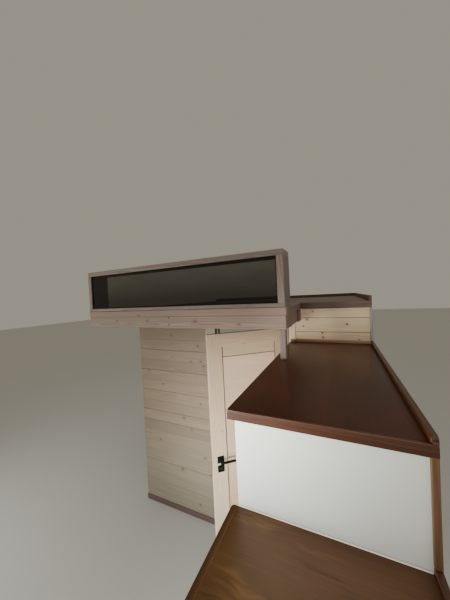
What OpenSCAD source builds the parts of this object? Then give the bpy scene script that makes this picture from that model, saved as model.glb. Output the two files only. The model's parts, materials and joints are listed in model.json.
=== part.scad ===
// Sleeping loft of a tiny house with the box stair that climbs to it.
// The loft stands on a boarded partition with a hinged door, on a low
// newel and on the tall cabinet under the landing. Millimetres, +Z up.
// Origin: middle of the floor area that the whole piece covers.
// -Y is the side from which the stair is climbed, +X is the stair's wall.

/* [Room] */
// Clear width between the two side walls of the house
room_w = 2336; // [2200:4:2400]
// Depth of the loft, from the face of its front beam to the end wall
loft_depth = 2602; // [2300:1:2700]
// How far the loft reaches out in front of the partition
loft_overhang = 602; // [560:1:700]

/* [Stair] */
// Width of the treads
stair_w = 609; // [600:1:612]
// Number of low steps below the landing
low_steps = 5; // [5:1:5]
// Height of each low step
riser_h = 310; // [290:1:310]
// Depth of the narrow steps
going = 250; // [230:1:280]
// Depth of the wide step in front of the landing
wide_going = 400; // [340:1:480]
// Height of the landing above the wide step
landing_rise = 359; // [340:1:365]
// Height of the loft floor above the landing
loft_rise = 327; // [318:1:338]
// Run of the landing, from its front panel to the partition
landing_run = 1308; // [1200:1:1400]
// Thickness of treads and landing
tread_t = 36; // [30:1:40]
// How far treads reach past the front panels
nosing = 14; // [13:1:30]
// Thickness of the strip glued to the landing's front edge
lip_t = 12; // [8:1:20]
// How far treads reach past the side panels
side_over = 25; // [20:1:30]
// Thickness of the white cabinet panels
panel_t = 18; // [16:1:22]
// Section of the brown strip along the wall, its width
strip_w = 18; // [12:1:24]
// Section of the brown strip along the wall, its height
strip_h = 22; // [16:1:28]
// Thickness of that strip where it climbs a front panel
strip_up = 12; // [6:1:13]

/* [Partition] */
// Thickness of the pine boards on both faces
board_t = 14; // [12:1:18]
// Depth of the studs between the boards
stud_d = 60; // [50:1:70]
// Width of the studs
stud_w = 45; // [38:1:48]
// Left edge of the doorway, from the stair's wall
door_left = 1338; // [1330:1:1350]
// Right edge of the doorway, from the stair's wall
door_right = 620; // [618:1:622]
// Clear height of the doorway
doorway_h = 2032; // [2020:1:2036]
// Thickness of the doorway's lining boards
lining_t = 28; // [24:1:28]
// Width of the casing around the doorway
casing_w = 80; // [60:1:90]

/* [Loft] */
// Width of beams and joists
beam_w = 45; // [40:1:50]
// Height of the front and side beams below their cap strip
beam_h = 90; // [80:1:90]
// Height of the cap strips and the nosing, up to the loft floor
cap_h = 49; // [42:1:54]
// Height of the brown strips round the loft floor
floor_strip_h = 40; // [20:1:50]
// How far the cap strips stand in front of the beams
cap_proud = 6; // [2:1:8]
// Thickness of the loft's floor boards
floor_t = 22; // [18:1:25]
// Width of the gap in the loft floor above the landing
well_w = 523; // [500:1:530]
// Width of the newel
newel_w = 39; // [34:1:45]
// Depth of the newel
newel_d = 45; // [40:1:60]

/* [Guard] */
// Height of the guard above the loft floor
guard_h = 366; // [340:1:440]
// Depth of the boards of the guard's frame
guard_d = 185; // [120:1:200]
// Thickness of the guard's top board
guard_top_t = 39; // [30:1:45]
// Thickness of the guard's bottom board
guard_bottom_t = 27; // [18:1:30]
// Thickness of the guard's board at the left wall
guard_left_t = 34; // [25:1:40]
// Thickness of the glass
glass_t = 6; // [5:1:10]
// How far the glass lies behind the frame's front
glass_inset = 12; // [8:1:20]

/* [Door] */
// Thickness of the door
leaf_t = 40; // [38:1:44]
// Gap between the door and its lining
leaf_gap = 5.5; // [5.5:0.1:6]
// Gap under the door
leaf_foot = 10; // [8:1:15]
// How far the door stands open, from closed
door_open = 40; // [0:1:85]
// Width of the door's stiles
stile_w = 120; // [100:1:130]
// Height of the door's top rail
top_rail_h = 105; // [95:1:120]
// Height of the door's bottom rail
bottom_rail_h = 180; // [150:1:220]
// Height of the lever above the floor
lever_z = 1028; // [1000:1:1060]
// Length of the lever from its axis
lever_len = 112; // [100:1:125]
// How far the lever stands out from the face of the door
lever_out = 57; // [50:1:60]
// Width of the square plates behind the lever
plate_w = 52; // [46:1:56]
// Height of each plate
plate_h = 52; // [46:1:56]

/* [Hidden] */
$fn = 48;

x_r = room_w / 2;
x_l = -x_r;
total_d = nosing + (low_steps - 1) * going + wide_going + landing_run
    + loft_depth - loft_overhang;
y0 = -total_d / 2;
y_end = total_d / 2;
// front face of the front panel of step k
function step_y(k) = y0 + nosing + (k - 1) * going;
y_land = step_y(low_steps) + wide_going;
y_part = y_land + landing_run;
y_beam = y_part - loft_overhang;
wall_t = 2 * board_t + stud_d;
y_back = y_part + wall_t;

low_z = low_steps * riser_h;
land_z = low_z + landing_rise;
loft_z = land_z + loft_rise;
cap_z = loft_z - cap_h;
soffit_z = cap_z - beam_h;
joist_z = soffit_z + board_t;

x_tread = x_r - stair_w;
x_cab = x_tread + side_over;
x_well = x_r - well_w;
xd_l = x_r - door_left;
xd_r = x_r - door_right;
lin_l = xd_l - lining_t;
lin_r = xd_r + lining_t;
lin_z = doorway_h + lining_t;
x_trim = x_well - beam_w;
y_rear = y_back - board_t;

// hinge line of the door, in front of the lining's edge
hinge_x = xd_r - leaf_gap / 2;
face_y = y_part - board_t;
hinge_y = face_y - 7;
leaf_w = xd_r - xd_l - 2 * leaf_gap;
leaf_top = doorway_h - leaf_gap;
lever_in = 66;

tread_brown = [0.42, 0.25, 0.15];
landing_brown = [0.24, 0.14, 0.10];
panel_white = [0.86, 0.86, 0.83];
pine = [0.82, 0.74, 0.60];
grey_pine = [0.56, 0.47, 0.41];
cream = [0.80, 0.75, 0.67];
black = [0.05, 0.05, 0.05];

// a block given by its two corners
module block(a, b) { translate(a) cube(b - a); }

// ---- stair ----
module tread(k, back)
    block([x_tread, step_y(k) - nosing, k * riser_h - tread_t], [x_r, back, k * riser_h]);
module narrow_treads() color(tread_brown)
    for (k = [1 : low_steps - 1]) tread(k, step_y(k + 1));
module wide_tread() color(tread_brown) tread(low_steps, y_land);
// the landing's far left corner is cut out round the lining of the doorway
module landing_board() color(landing_brown) difference() {
    block([x_tread, y_land - nosing + lip_t, land_z - tread_t], [x_r, y_part, land_z]);
    block([x_tread - 10, face_y, land_z - tread_t - 10], [lin_r, y_part + 10, land_z + 10]);
}
module landing_nosing() color(tread_brown)
    block([x_tread, y_land - nosing, land_z - tread_t], [x_r, y_land - nosing + lip_t, land_z]);
module step_front_panels() color(panel_white)
    for (k = [1 : low_steps])
        block([x_cab, step_y(k), 0], [x_r, step_y(k) + panel_t, k * riser_h - tread_t]);
module landing_front_panel() color(panel_white)
    block([x_cab, y_land, 0], [x_r, y_land + panel_t, land_z - tread_t]);
// side walls of the step boxes, between their front panels
module box_sides(x) for (k = [1 : low_steps])
    block([x, step_y(k) + panel_t, 0],
        [x + panel_t, k < low_steps ? step_y(k + 1) : y_land, k * riser_h - tread_t]);
module landing_side(x) block([x, y_land + panel_t, 0], [x + panel_t, y_part, land_z - tread_t]);
module cabinet_side_panels() color(panel_white) {
    box_sides(x_cab);
    landing_side(x_cab);
}
module wall_side_panels() color(panel_white) {
    box_sides(x_r - panel_t);
    landing_side(x_r - panel_t);
}
// brown strip that covers the joint between the stair and the wall
module wall_strip() color(tread_brown) {
    xs = x_r - strip_w;
    for (k = [1 : low_steps]) {
        front = k == low_steps ? y_land : step_y(k + 1);
        top = k == low_steps ? land_z : (k + 1) * riser_h;
        block([xs, step_y(k) - nosing, k * riser_h], [x_r, front, k * riser_h + strip_h]);
        block([xs, front - strip_up, k * riser_h + strip_h - 1], [x_r, front, top - tread_t]);
    }
    block([xs, step_y(1) - strip_up, 0], [x_r, step_y(1), riser_h - tread_t]);
    block([xs, y_land - nosing, land_z], [x_r, y_part, land_z + strip_h]);
    block([x_trim, y_part - strip_w, land_z], [xs + 1, y_part, land_z + strip_h]);
    block([x_tread + 2, face_y - strip_w, land_z], [x_trim, face_y, land_z + strip_h]);
}
// pale strips in the two corners of the riser between landing and loft floor
module riser_corner_strips() color(cream) {
    block([x_r - strip_w + 2, y_part - 12, land_z + strip_h], [x_r, y_part, cap_z]);
    block([x_well, y_part - 12, soffit_z], [x_well + strip_w + 2, y_part, cap_z]);
}

// ---- partition ----
module boards(x1, x2, y, z1, z2) color(pine) block([x1, y, z1], [x2, y + board_t, z2]);
module partition_boards_left() boards(x_l, lin_l, y_part, 0, joist_z);
module partition_boards_right() boards(lin_r, x_r, y_part, 0, cap_z);
module partition_boards_head() {
    boards(lin_l, lin_r, y_part, lin_z, joist_z);
    boards(lin_l, lin_r, y_rear, lin_z, joist_z);
}
module partition_back_boards() {
    boards(x_l, lin_l, y_rear, 0, joist_z);
    boards(lin_r, x_r, y_rear, 0, joist_z);
}
// studs and plates between the two faces of boards
module stud(x) block([x, y_part + board_t, stud_w], [x + stud_w, y_rear, joist_z - stud_w]);
module plate(x1, x2, z) block([x1, y_part + board_t, z], [x2, y_rear, z + stud_w]);
module partition_studs() color(pine) {
    for (x = [x_l, (x_l + lin_l - stud_w) / 2, lin_l - stud_w]) stud(x);
    for (x = [lin_r, (lin_r + x_r - stud_w) / 2, x_r - stud_w]) stud(x);
    plate(x_l, lin_l, 0);
    plate(lin_r, x_r, 0);
    plate(x_l, x_r, joist_z - stud_w);
}
// lining boards of the doorway
jamb_y = y_back + board_t;
stop_y = face_y + leaf_t + 6;
module door_jambs() color(cream) {
    block([lin_l, face_y, 0], [xd_l, jamb_y, doorway_h]);
    block([xd_r, face_y, 0], [lin_r, jamb_y, doorway_h]);
}
module door_head() color(cream) block([lin_l, face_y, doorway_h], [lin_r, jamb_y, lin_z]);
// strips that the door closes against
module door_stops() color(cream) {
    block([xd_l, stop_y, 0], [xd_l + 12, stop_y + 30, doorway_h]);
    block([xd_r - 12, stop_y, 0], [xd_r, stop_y + 30, doorway_h]);
    block([xd_l, stop_y, doorway_h - 12], [xd_r, stop_y + 30, doorway_h]);
}
// casing boards beside and over the doorway; in front the right-hand one
// is narrow and stands on the landing
module door_casing() color(cream) {
    for (y = [face_y, y_back]) {
        block([lin_l - casing_w, y, 0], [lin_l, y + board_t, soffit_z]);
        block([lin_l, y, lin_z], [lin_r, y + board_t, soffit_z]);
    }
    block([lin_r, y_back, 0], [lin_r + casing_w, y_back + board_t, soffit_z]);
    block([lin_r, face_y, land_z], [x_trim, y_part, soffit_z]);
}

// ---- loft ----
module front_beam() color(grey_pine)
    block([x_l, y_beam, soffit_z], [x_well, y_beam + beam_w, cap_z]);
module front_cap() color(grey_pine)
    block([x_l, y_beam - cap_proud, cap_z], [x_well + cap_proud, y_beam + beam_w, loft_z]);
module side_beam() color(grey_pine)
    block([x_well - beam_w, y_beam + beam_w, soffit_z], [x_well, y_part, cap_z]);
module side_cap() color(grey_pine)
    block([x_well - beam_w, y_beam + beam_w, cap_z], [x_well + cap_proud, y_part + board_t, loft_z]);
module loft_nosing() color(grey_pine)
    block([x_well + cap_proud, y_part - 12, cap_z], [x_r, y_part + board_t, loft_z]);
module loft_floor_front() color(grey_pine)
    block([x_l, y_beam + beam_w, loft_z - floor_t], [x_well - beam_w, y_part + board_t, loft_z]);
module loft_floor_rear() color(grey_pine)
    block([x_l, y_part + board_t, loft_z - floor_t], [x_r, y_end, loft_z]);
// joists from the front beam, over the partition, to the end ledger
joist_n = 5;
joist_step = (x_well - beam_w - x_l) / (joist_n - 1);
module joist(x, y) block([x, y, joist_z], [x + beam_w, y_end - beam_w, loft_z - floor_t]);
module loft_joists() color(pine) {
    for (i = [0 : joist_n - 2]) joist(x_l + i * joist_step, y_beam + beam_w);
    for (x = [x_well - beam_w, x_r - beam_w]) joist(x, y_part + board_t);
}
module end_ledger() color(pine)
    block([x_l, y_end - beam_w, joist_z], [x_r, y_end, loft_z - floor_t]);
module ceiling_boards_front() color(pine)
    block([x_l, y_beam + beam_w, soffit_z], [x_well - beam_w, y_part, joist_z]);
module ceiling_boards_rear() color(pine)
    block([x_l, y_back, soffit_z], [x_r, y_end, joist_z]);
module newel_post() color(grey_pine)
    block([x_well - beam_w, y_beam, land_z], [x_well - beam_w + newel_w, y_beam + newel_d, soffit_z]);
// brown strip round the loft floor, along the end wall and the stair's wall
module floor_strip() color(landing_brown) {
    block([x_l, y_end - strip_w, loft_z], [x_r, y_end, loft_z + floor_strip_h]);
    block([x_r - strip_w, y_part - 12, loft_z], [x_r, y_end - strip_w + 1, loft_z + floor_strip_h]);
}

// ---- guard ----
g_low = loft_z;
g_top = loft_z + guard_h;
module guard_board(x1, x2, z1, z2) block([x1, y_beam, z1], [x2, y_beam + guard_d, z2]);
module guard_bottom_board() color(grey_pine) guard_board(x_l, x_well, g_low, g_low + guard_bottom_t);
module guard_top_board() color(grey_pine) guard_board(x_l, x_well, g_top - guard_top_t, g_top);
module guard_side_boards() color(grey_pine) {
    guard_board(x_l, x_l + guard_left_t, g_low + guard_bottom_t, g_top - guard_top_t);
    guard_board(x_well - beam_w, x_well, g_low + guard_bottom_t, g_top - guard_top_t);
}
module guard_glass() color([0.10, 0.11, 0.12, 0.6])
    block([x_l + guard_left_t, y_beam + glass_inset, g_low + guard_bottom_t],
        [x_well - beam_w, y_beam + glass_inset + glass_t, g_top - guard_top_t]);

// ---- door, drawn closed and then turned open about its hinge line ----
module opened() translate([hinge_x, hinge_y, 0]) rotate([0, 0, door_open])
    translate([-hinge_x, -hinge_y, 0]) children();
lx1 = xd_l + leaf_gap;
lx2 = xd_r - leaf_gap;
lever_x = lx1 + lever_in;
hinge_h = 90;
hinge_zs = [220, 1010, 1760];
module door_lock_stile() color(cream) opened() difference() {
    block([lx1, face_y, leaf_foot], [lx1 + stile_w, face_y + leaf_t, leaf_top]);
    translate([lever_x, face_y - 1, lever_z]) rotate([-90, 0, 0]) cylinder(r = 10, h = leaf_t + 2);
}
module door_hinge_stile() color(cream) opened()
    block([lx2 - stile_w, face_y, leaf_foot], [lx2, face_y + leaf_t, leaf_top]);
module door_rails() color(cream) opened() {
    block([lx1 + stile_w, face_y, leaf_top - top_rail_h], [lx2 - stile_w, face_y + leaf_t, leaf_top]);
    block([lx1 + stile_w, face_y, leaf_foot], [lx2 - stile_w, face_y + leaf_t, leaf_foot + bottom_rail_h]);
}
module door_panel() color(cream) opened()
    block([lx1 + stile_w, face_y + 12, leaf_foot + bottom_rail_h],
        [lx2 - stile_w, face_y + leaf_t - 12, leaf_top - top_rail_h]);
// upper halves of the hinges, screwed to the face of the door
module door_hinges() color(black) opened() for (z = hinge_zs) {
    difference() {
        union() {
            translate([hinge_x, hinge_y, z + hinge_h / 2 + 0.5]) cylinder(r = 6.5, h = hinge_h / 2 - 0.5);
            block([hinge_x - 30, face_y - 3, z + hinge_h / 2 + 0.5], [hinge_x - 3, face_y, z + hinge_h]);
        }
        translate([hinge_x, hinge_y, z + hinge_h / 2 - 1]) cylinder(r = 4.05, h = 36);
    }
}
// lower halves with their pins, on the edge of the lining
module frame_hinges() color(black) for (z = hinge_zs) {
    translate([hinge_x, hinge_y, z]) cylinder(r = 6.5, h = hinge_h / 2);
    translate([hinge_x, hinge_y, z + hinge_h / 2 - 1]) cylinder(r = 4, h = 34);
    block([hinge_x + 3, face_y - 3, z], [hinge_x + 26, face_y, z + hinge_h / 2]);
}
// square plates on both faces: the upper one carries the lever, the lower one is blank
module square_plate(y, z, hole) difference() {
    block([lever_x - plate_w / 2, y, z - plate_h / 2], [lever_x + plate_w / 2, y + 8, z + plate_h / 2]);
    if (hole) translate([lever_x, y - 1, z]) rotate([-90, 0, 0]) cylinder(r = 9.5, h = 10);
}
module door_plates() color(black) opened() for (y = [face_y - 8, face_y + leaf_t]) {
    square_plate(y, lever_z, true);
    square_plate(y, lever_z - plate_h - 20, false);
}
// spindle through the door, and one bar on each of its ends
module lever_spindle() color(black) opened()
    translate([lever_x, face_y - lever_out + 12, lever_z]) rotate([-90, 0, 0])
        cylinder(r = 9, h = leaf_t + 2 * lever_out - 24);
module lever_bars() color(black) opened()
    for (y = [face_y - lever_out, face_y + leaf_t + lever_out - 12])
        block([lever_x - 10, y, lever_z - 8], [lever_x + lever_len, y + 12, lever_z + 8]);

narrow_treads();
wide_tread();
landing_board();
landing_nosing();
step_front_panels();
landing_front_panel();
cabinet_side_panels();
wall_side_panels();
wall_strip();
partition_boards_left();
partition_boards_right();
partition_boards_head();
partition_back_boards();
partition_studs();
door_jambs();
door_head();
door_stops();
door_casing();
front_beam();
front_cap();
side_beam();
side_cap();
loft_nosing();
loft_floor_front();
loft_floor_rear();
loft_joists();
end_ledger();
ceiling_boards_front();
ceiling_boards_rear();
newel_post();
riser_corner_strips();
floor_strip();
guard_bottom_board();
guard_top_board();
guard_side_boards();
guard_glass();
door_lock_stile();
door_hinge_stile();
door_rails();
door_panel();
door_hinges();
frame_hinges();
door_plates();
lever_spindle();
lever_bars();
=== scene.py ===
import json
import math
import random

import bmesh
import bpy
from mathutils import Matrix, Vector

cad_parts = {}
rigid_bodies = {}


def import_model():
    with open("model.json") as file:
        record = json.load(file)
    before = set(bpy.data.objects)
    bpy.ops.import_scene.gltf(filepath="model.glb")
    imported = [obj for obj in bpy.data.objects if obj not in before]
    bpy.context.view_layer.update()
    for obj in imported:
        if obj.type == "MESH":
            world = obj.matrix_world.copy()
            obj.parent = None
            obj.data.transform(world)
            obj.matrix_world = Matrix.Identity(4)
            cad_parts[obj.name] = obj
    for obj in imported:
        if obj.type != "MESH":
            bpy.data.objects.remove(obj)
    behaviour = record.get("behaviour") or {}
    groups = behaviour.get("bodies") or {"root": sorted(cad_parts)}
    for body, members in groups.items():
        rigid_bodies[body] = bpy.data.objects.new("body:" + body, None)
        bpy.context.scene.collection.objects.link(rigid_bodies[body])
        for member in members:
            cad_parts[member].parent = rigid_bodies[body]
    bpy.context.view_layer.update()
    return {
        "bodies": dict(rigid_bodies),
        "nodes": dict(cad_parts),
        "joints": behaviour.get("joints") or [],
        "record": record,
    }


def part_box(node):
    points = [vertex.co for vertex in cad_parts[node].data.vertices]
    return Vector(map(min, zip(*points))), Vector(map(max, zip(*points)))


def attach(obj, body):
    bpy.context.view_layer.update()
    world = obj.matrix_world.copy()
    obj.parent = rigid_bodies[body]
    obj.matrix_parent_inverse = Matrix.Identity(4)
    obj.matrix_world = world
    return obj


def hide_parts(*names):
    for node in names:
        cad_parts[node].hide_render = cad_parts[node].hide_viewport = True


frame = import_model()
scene = bpy.context.scene
rnd = random.Random(11)


# ---------------------------------------------------------------- camera
# The camera stands over the third low step and looks to the left, almost level.
def make_camera():
    yaw, pitch, roll = 0.44145, 0.01659, 0.0495
    cy, sy, cp, sp = math.cos(yaw), math.sin(yaw), math.cos(pitch), math.sin(pitch)
    forward = Vector((-sy * cp, cy * cp, -sp))
    right = Vector((cy, sy, 0.0))
    down = forward.cross(right)
    cr, sr = math.cos(roll), math.sin(roll)
    r, d = cr * right + sr * down, -sr * right + cr * down
    m = Matrix((r, -d, -forward)).transposed().to_4x4()
    m.translation = Vector((0.948, -1.7470, 2.324))
    data = bpy.data.cameras.new("camera")
    data.sensor_fit = "AUTO"
    data.sensor_width = 36.0
    data.lens = 14.50
    data.clip_start = 0.01
    data.clip_end = 200.0
    cam = bpy.data.objects.new("camera", data)
    cam.matrix_world = m
    scene.collection.objects.link(cam)
    scene.camera = cam
    return cam


make_camera()


# ---------------------------------------------------------------- shader helper
class Shader:
    def __init__(self, name):
        self.mat = bpy.data.materials.new(name)
        self.mat.use_nodes = True
        self.tree = self.mat.node_tree
        self.tree.nodes.clear()
        self.out = self.tree.nodes.new("ShaderNodeOutputMaterial")
        self.bsdf = self.tree.nodes.new("ShaderNodeBsdfPrincipled")
        self.tree.links.new(self.bsdf.outputs[0], self.out.inputs["Surface"])

    def put(self, socket, value):
        if isinstance(value, bpy.types.NodeSocket):
            self.tree.links.new(value, socket)
        elif value is not None:
            if hasattr(socket.default_value, "__len__") and not hasattr(value, "__len__"):
                value = (value,) * len(socket.default_value)
            if hasattr(value, "__len__") and len(value) == 3 and len(socket.default_value) == 4:
                value = (*value, 1.0)
            socket.default_value = value

    def node(self, kind, **props):
        n = self.tree.nodes.new(kind)
        for k, v in props.items():
            setattr(n, k, v)
        return n

    def math(self, op, a, b=None, c=None, clamp=False):
        n = self.node("ShaderNodeMath", operation=op, use_clamp=clamp)
        for i, v in enumerate((a, b, c)):
            if v is not None:
                self.put(n.inputs[i], v)
        return n.outputs[0]

    def vec(self, op, a, b=None, scale=None):
        n = self.node("ShaderNodeVectorMath", operation=op)
        self.put(n.inputs[0], a)
        if b is not None:
            self.put(n.inputs[1], b)
        if scale is not None:
            self.put(n.inputs["Scale"], scale)
        return n.outputs["Value" if op in ("LENGTH", "DISTANCE", "DOT_PRODUCT") else "Vector"]

    def split(self, v):
        n = self.node("ShaderNodeSeparateXYZ")
        self.put(n.inputs[0], v)
        return n.outputs

    def join(self, x, y, z):
        n = self.node("ShaderNodeCombineXYZ")
        for i, v in enumerate((x, y, z)):
            self.put(n.inputs[i], v)
        return n.outputs[0]

    def noise(self, vector, scale=1.0, detail=2.0, rough=0.5, color=False):
        n = self.node("ShaderNodeTexNoise")
        self.put(n.inputs["Vector"], vector)
        self.put(n.inputs["Scale"], scale)
        self.put(n.inputs["Detail"], detail)
        self.put(n.inputs["Roughness"], rough)
        return n.outputs["Color" if color else "Fac"]

    def step(self, value, low, high, to_low=0.0, to_high=1.0):
        n = self.node("ShaderNodeMapRange", interpolation_type="SMOOTHSTEP")
        for i, v in enumerate((value, low, high, to_low, to_high)):
            self.put(n.inputs[i], v)
        return n.outputs[0]

    def mix(self, fac, a, b, blend="MIX"):
        n = self.node("ShaderNodeMix", data_type="RGBA", blend_type=blend)
        self.put(n.inputs[0], fac)
        self.put(n.inputs[6], a)
        self.put(n.inputs[7], b)
        return n.outputs[2]

    def gain(self, colour, factor):
        """colour times a number"""
        n = self.node("ShaderNodeVectorMath", operation="SCALE")
        self.put(n.inputs[0], colour)
        self.put(n.inputs["Scale"], factor)
        return n.outputs[0]

    def bump(self, height, distance, strength=1.0):
        n = self.node("ShaderNodeBump")
        n.inputs["Distance"].default_value = distance
        n.inputs["Strength"].default_value = strength
        self.put(n.inputs["Height"], height)
        self.tree.links.new(n.outputs[0], self.bsdf.inputs["Normal"])

    def set(self, **kw):
        for k, v in kw.items():
            self.put(self.bsdf.inputs[k.replace("_", " ")], v)


def srgb(r, g, b):
    def f(c):
        c /= 255.0
        return c / 12.92 if c <= 0.04045 else ((c + 0.055) / 1.055) ** 2.4
    return (f(r), f(g), f(b))


def wood(name, early, late, ring=0.004, contrast=1.0, streak=0.12, fine=0.08, tone=0.10, knots=0.0,
         knot_color=None, knot_r=0.009, klen=0.42, kwidth=0.11, wash=0.0, wash_color=(0.8, 0.78, 0.74),
         mottle=None, mottle_scale=3.0, edge=0.0, edge_color=None, rough=0.55, spec=0.5, coat=0.0, coat_rough=0.1,
         pores=0.0, dashes=0.0, bump=0.00025, placed=(), stain_and_light_fade=None, stain=(1.0, 1.0, 1.0),
         board_coords=True, figure=None):
    """Timber: rings round a pith behind the board, streaks, fibres, pores, knots that bend the rings,
    tone from board to board, a thin wash or stain, and tinted edges: lighter partly from wear and partly as a painted
    highlight, darker partly as dirt and partly as painted shade in a groove.
    stain_and_light_fade: axis number, two places on it in metres and the tints that the colour takes there; the tints
    are partly the board's own change of colour and partly painted light and shade.
    figure: axis number, two places on it and the strength of the wavy figure at each."""
    s = Shader(name)
    if board_coords:
        p = s.node("ShaderNodeAttribute", attribute_name="grain").outputs["Vector"]
        r = s.node("ShaderNodeAttribute", attribute_name="tone").outputs["Vector"]
        edge_wear_and_painted_light = s.node("ShaderNodeAttribute", attribute_name="edge").outputs["Fac"]
    else:
        p = s.node("ShaderNodeTexCoord").outputs["Object"]
        r = (0.4, 0.6, 0.5)
        edge_wear_and_painted_light = None
    q = s.vec("ADD", p, s.vec("SCALE", r, scale=17.0))
    px, py, pz = s.split(p)
    rx, ry, rz = s.split(r)
    slow = s.noise(s.vec("MULTIPLY", q, (1.7, 9.0, 9.0)), detail=2.5, color=True)
    wx, wy, wz = s.split(s.vec("SCALE", s.vec("SUBTRACT", slow, (0.5, 0.5, 0.5)), scale=0.030))
    # where the pith lies, drifting along the board
    cy = s.math("MULTIPLY_ADD", s.math("SUBTRACT", rx, 0.5), 0.09,
                s.math("MULTIPLY", px, s.math("MULTIPLY", s.math("SUBTRACT", rz, 0.5), 0.03)))
    cz = s.math("SUBTRACT", s.math("MULTIPLY", px, s.math("MULTIPLY", s.math("SUBTRACT", rx, 0.5), 0.03)),
                s.math("MULTIPLY_ADD", ry, 0.05, 0.012))
    dy = s.math("ADD", s.math("SUBTRACT", py, cy), wy)
    dz = s.math("ADD", s.math("SUBTRACT", pz, cz), wz)
    radius = s.math("SQRT", s.math("ADD", s.math("MULTIPLY", dy, dy), s.math("MULTIPLY", dz, dz)))
    core, near = None, None
    if knots > 0:
        v = s.node("ShaderNodeTexVoronoi", voronoi_dimensions="2D", feature="F1")
        qx, qy, qz = s.split(q)
        s.put(v.inputs["Vector"], s.join(s.math("DIVIDE", qx, klen), s.math("DIVIDE", qy, kwidth), 0.0))
        v.inputs["Scale"].default_value = 1.0
        v.inputs["Randomness"].default_value = 0.9
        vx, vy, vz = s.split(v.outputs["Position"])
        kx = s.math("SUBTRACT", qx, s.math("MULTIPLY", vx, klen))
        ky = s.math("SUBTRACT", qy, s.math("MULTIPLY", vy, kwidth))
        cr = s.split(v.outputs["Color"])
        d = s.math("SQRT", s.math("ADD", s.math("MULTIPLY", s.math("MULTIPLY", kx, kx), 0.55), s.math("MULTIPLY", ky, ky)))
        size = s.math("MULTIPLY_ADD", cr[1], knot_r, knot_r * 0.45)
        there = s.math("LESS_THAN", cr[0], knots)
        near = s.math("MULTIPLY", there, s.step(d, s.math("MULTIPLY", size, 4.5), s.math("MULTIPLY", size, 0.8)))
        core = s.math("MULTIPLY", there, s.step(d, size, s.math("MULTIPLY", size, 0.62)))
    if placed:
        o = s.split(s.node("ShaderNodeTexCoord").outputs["Object"])
        for (u, w, kr) in placed:
            du = s.math("SUBTRACT", o[0], u)
            dw = s.math("SUBTRACT", o[2], w)
            d = s.math("SQRT", s.math("ADD", s.math("MULTIPLY", s.math("MULTIPLY", du, du), 0.6), s.math("MULTIPLY", dw, dw)))
            m, n = s.step(d, kr * 1.1, kr * 0.5), s.step(d, kr * 3.6, kr * 0.8)
            core = m if core is None else s.math("MAXIMUM", core, m)
            near = n if near is None else s.math("MAXIMUM", near, n)
    if near is not None:
        radius = s.math("MULTIPLY_ADD", near, -0.012, radius)
    phase = s.math("FRACT", s.math("ADD", s.math("DIVIDE", radius, ring),
                                   s.math("MULTIPLY", s.math("SINE", s.math("MULTIPLY", radius, 260.0)), 0.35)))
    dark = s.math("SUBTRACT", s.step(phase, 0.25, 0.86), s.step(phase, 0.9, 1.0))
    strong = None
    if figure is not None:
        strong = s.step(s.split(s.node("ShaderNodeTexCoord").outputs["Object"])[figure[0]], figure[1], figure[2], figure[3], figure[4])
        bend = s.math("SUBTRACT", s.noise(s.vec("MULTIPLY", q, (5.0, 8.0, 8.0)), detail=2.0), 0.5)
        bend = s.math("MULTIPLY", bend, s.math("MULTIPLY", strong, 0.10))
        q = s.vec("ADD", q, s.join(0.0, bend, 0.0))
    wide = s.noise(s.vec("MULTIPLY", q, (2.2, 42.0, 42.0)), detail=2.0)
    narrow = s.noise(s.vec("MULTIPLY", q, (6.0, 170.0, 170.0)), detail=2.0)
    fibre = s.noise(s.vec("MULTIPLY", q, (9.0, 560.0, 560.0)), detail=2.0, rough=0.6)
    blotch = s.noise(s.vec("MULTIPLY", q, (1.1, 5.0, 5.0)), detail=2.0)
    colour = s.mix(s.math("MULTIPLY", dark, contrast), early, late)
    if mottle is not None:
        patch = s.noise(s.vec("MULTIPLY", q, (mottle_scale * 0.5, mottle_scale, mottle_scale)), detail=3.0, rough=0.55)
        colour = s.mix(s.step(patch, 0.38, 0.64), colour, s.mix(s.math("MULTIPLY", dark, contrast), mottle, tuple(c * 0.8 for c in mottle)))
    if near is not None:
        colour = s.mix(s.math("MULTIPLY", near, 0.35), colour, late)
    if wash > 0:
        colour = s.mix(s.math("MULTIPLY", s.step(blotch, 0.25, 0.75, 0.7, 1.0), wash), colour, wash_color)
    if core is not None:
        colour = s.mix(s.math("MULTIPLY", core, 0.88), colour, knot_color or tuple(c * 0.35 for c in late))
    light = s.math("MULTIPLY_ADD", s.math("SUBTRACT", wide, 0.5), streak * 2.0, 1.0)
    light = s.math("MULTIPLY", light, s.math("MULTIPLY_ADD", s.math("SUBTRACT", narrow, 0.5), streak * 1.5, 1.0))
    light = s.math("MULTIPLY", light, s.math("MULTIPLY_ADD", s.math("SUBTRACT", fibre, 0.5), fine * 2.0, 1.0))
    light = s.math("MULTIPLY", light, s.math("MULTIPLY_ADD", s.math("SUBTRACT", rz, 0.5), tone * 2.0, 1.0))
    light = s.math("MULTIPLY", light, s.math("MULTIPLY_ADD", s.math("SUBTRACT", blotch, 0.5), tone * 1.6, 1.0))
    if pores > 0:
        dash = s.step(s.noise(s.vec("MULTIPLY", q, (11.0, 330.0, 330.0)), detail=1.0), 0.62, 0.72)
        pore = s.step(s.noise(s.vec("MULTIPLY", q, (38.0, 1100.0, 1100.0)), detail=1.0), 0.62, 0.72)
        pore = s.math("MAXIMUM", dash, s.math("MULTIPLY", pore, 0.7))
        light = s.math("MULTIPLY", light, s.math("MULTIPLY_ADD", s.math("MULTIPLY", pore, s.math("MULTIPLY_ADD", dark, 0.6, 0.4)), -pores, 1.0))
    if dashes > 0:
        here = s.step(s.noise(s.vec("MULTIPLY", q, (3.0, 6.0, 6.0)), detail=1.0), 0.45, 0.62)
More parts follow.
